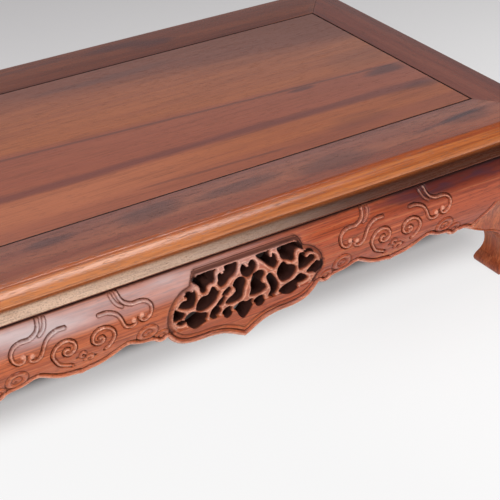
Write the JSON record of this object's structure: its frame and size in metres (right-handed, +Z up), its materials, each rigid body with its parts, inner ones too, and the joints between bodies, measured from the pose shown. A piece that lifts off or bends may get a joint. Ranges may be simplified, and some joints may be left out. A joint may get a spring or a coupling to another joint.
{
  "type": "teapot stand",
  "caption": "Low rectangular rosewood teapot stand with a framed panel top, recessed waist, carved scalloped aprons with pierced scrollwork, and short curved legs.",
  "frame": {"origin": "centre of the stand's bounding box, on the floor under the feet", "axes": "+X along the length to the right as seen from the front, +Y toward the back, +Z up"},
  "size_m": [0.4, 0.2188, 0.1],
  "materials": {
    "frame_rosewood": "waxed satin, mauve brown with long grain",
    "panel_rosewood": "waxed satin, warm brown with soft darker streaks",
    "waist_rosewood": "waxed satin, dark brown",
    "carved_rosewood": "waxed low satin, red orange brown",
    "batten_wood": "planed, unpolished"
  },
  "bodies": {
    "root": {"top_rail_front": "frame_rosewood", "top_rail_right": "frame_rosewood", "top_rail_back": "frame_rosewood", "top_rail_left": "frame_rosewood", "waist_strip_front": "waist_rosewood", "waist_strip_right": "waist_rosewood", "waist_strip_back": "waist_rosewood", "waist_strip_left": "waist_rosewood", "apron_front": "carved_rosewood", "apron_right": "carved_rosewood", "apron_back": "carved_rosewood", "apron_left": "carved_rosewood", "leg_front_left": "carved_rosewood", "leg_front_right": "carved_rosewood", "leg_back_left": "carved_rosewood", "leg_back_right": "carved_rosewood", "top_panel": "panel_rosewood", "panel_batten_left": "batten_wood", "panel_batten_right": "batten_wood"}
  },
  "joints": []
}
